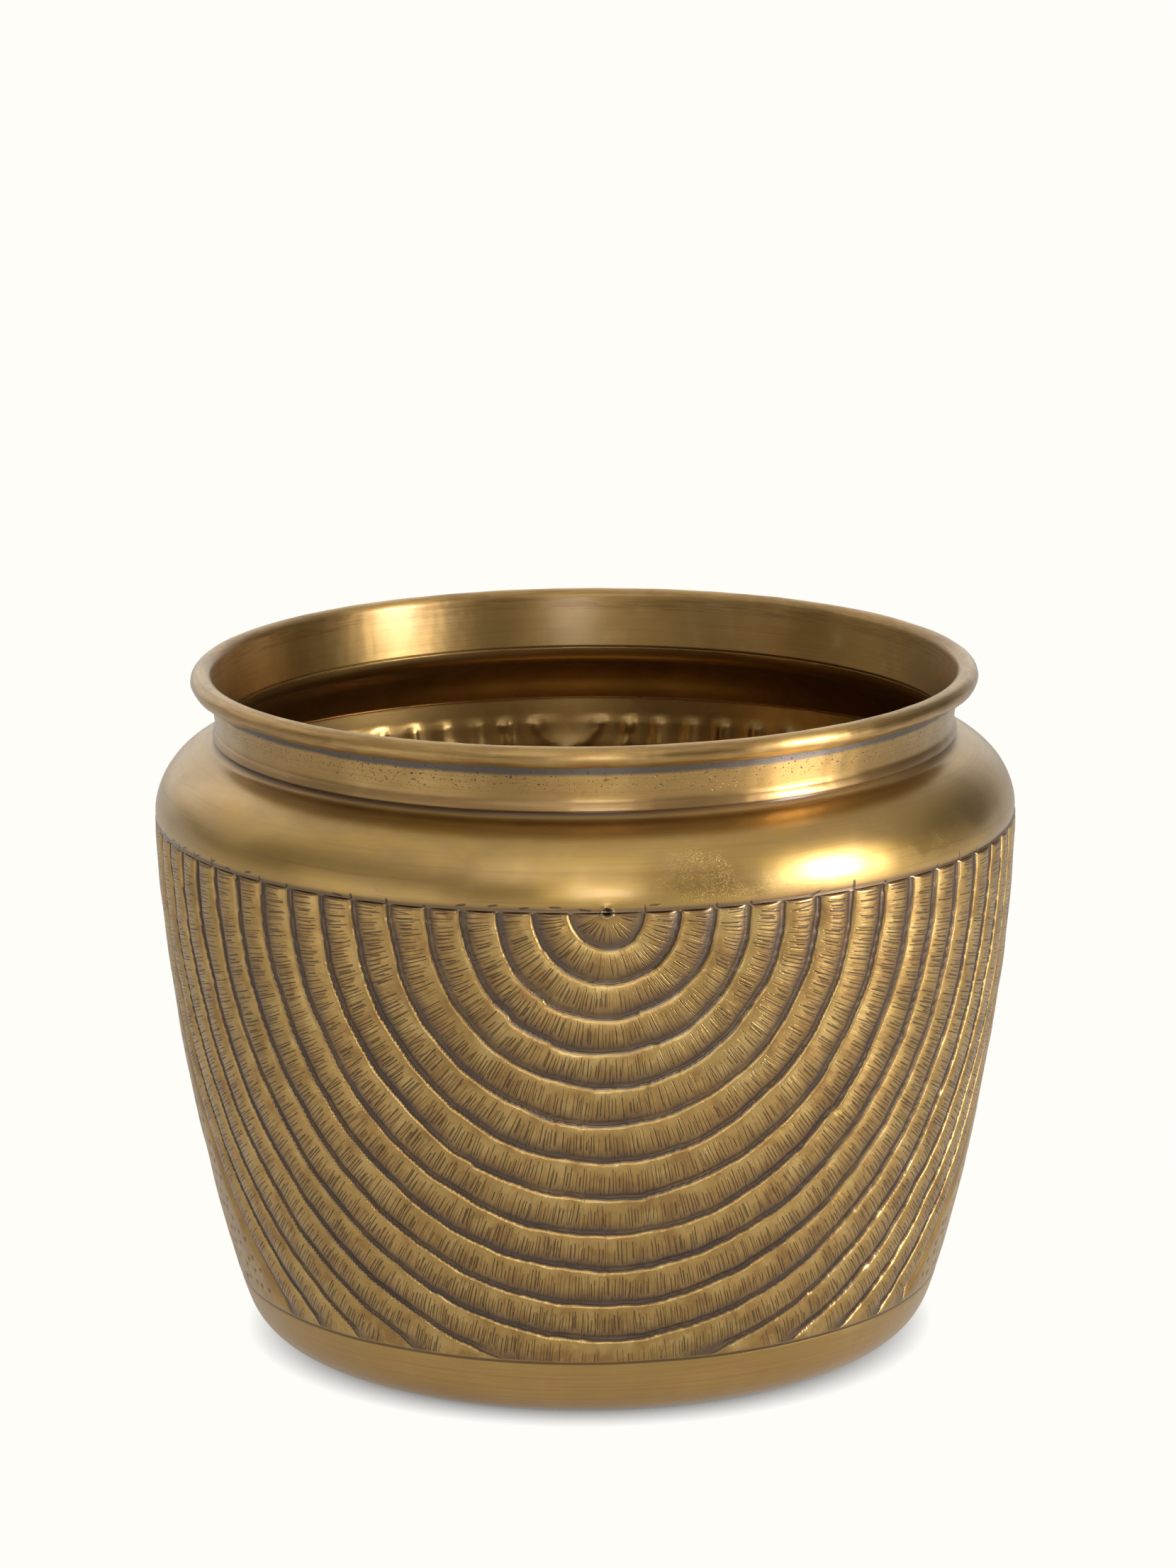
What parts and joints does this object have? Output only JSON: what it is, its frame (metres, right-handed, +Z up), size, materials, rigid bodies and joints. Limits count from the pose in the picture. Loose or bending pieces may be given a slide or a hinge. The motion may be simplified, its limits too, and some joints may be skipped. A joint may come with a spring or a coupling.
{
  "type": "planter pot",
  "caption": "Wide round brass planter pot with a rounded base, an embossed tapering wall, a rolled-in shoulder and a short collar with a rolled rim; holds a potted plant.",
  "frame": {"origin": "on the pot's vertical axis, at the middle of the flat face it rests on", "axes": "+Z up along the pot's axis, -Y towards the front, where the centre of one embossed fan is"},
  "size_m": [0.305, 0.305, 0.2413],
  "materials": {
    "bowl_brass": "embossed and chased, antiqued brass with dark patina in the grooves",
    "shoulder_brass": "smooth satin antiqued brass, brushed round the pot",
    "collar_brass": "brushed antiqued brass with small pits and a dark line under the rim",
    "rim_wire_steel": "drawn steel wire, hidden in the rim",
    "braze": "brazing alloy, hidden in the laps"
  },
  "bodies": {
    "root": {"bowl": "bowl_brass", "shoulder": "shoulder_brass", "neck_band": "collar_brass", "rim_wire": "rim_wire_steel", "belly_braze": "braze", "neck_braze": "braze"}
  },
  "joints": []
}
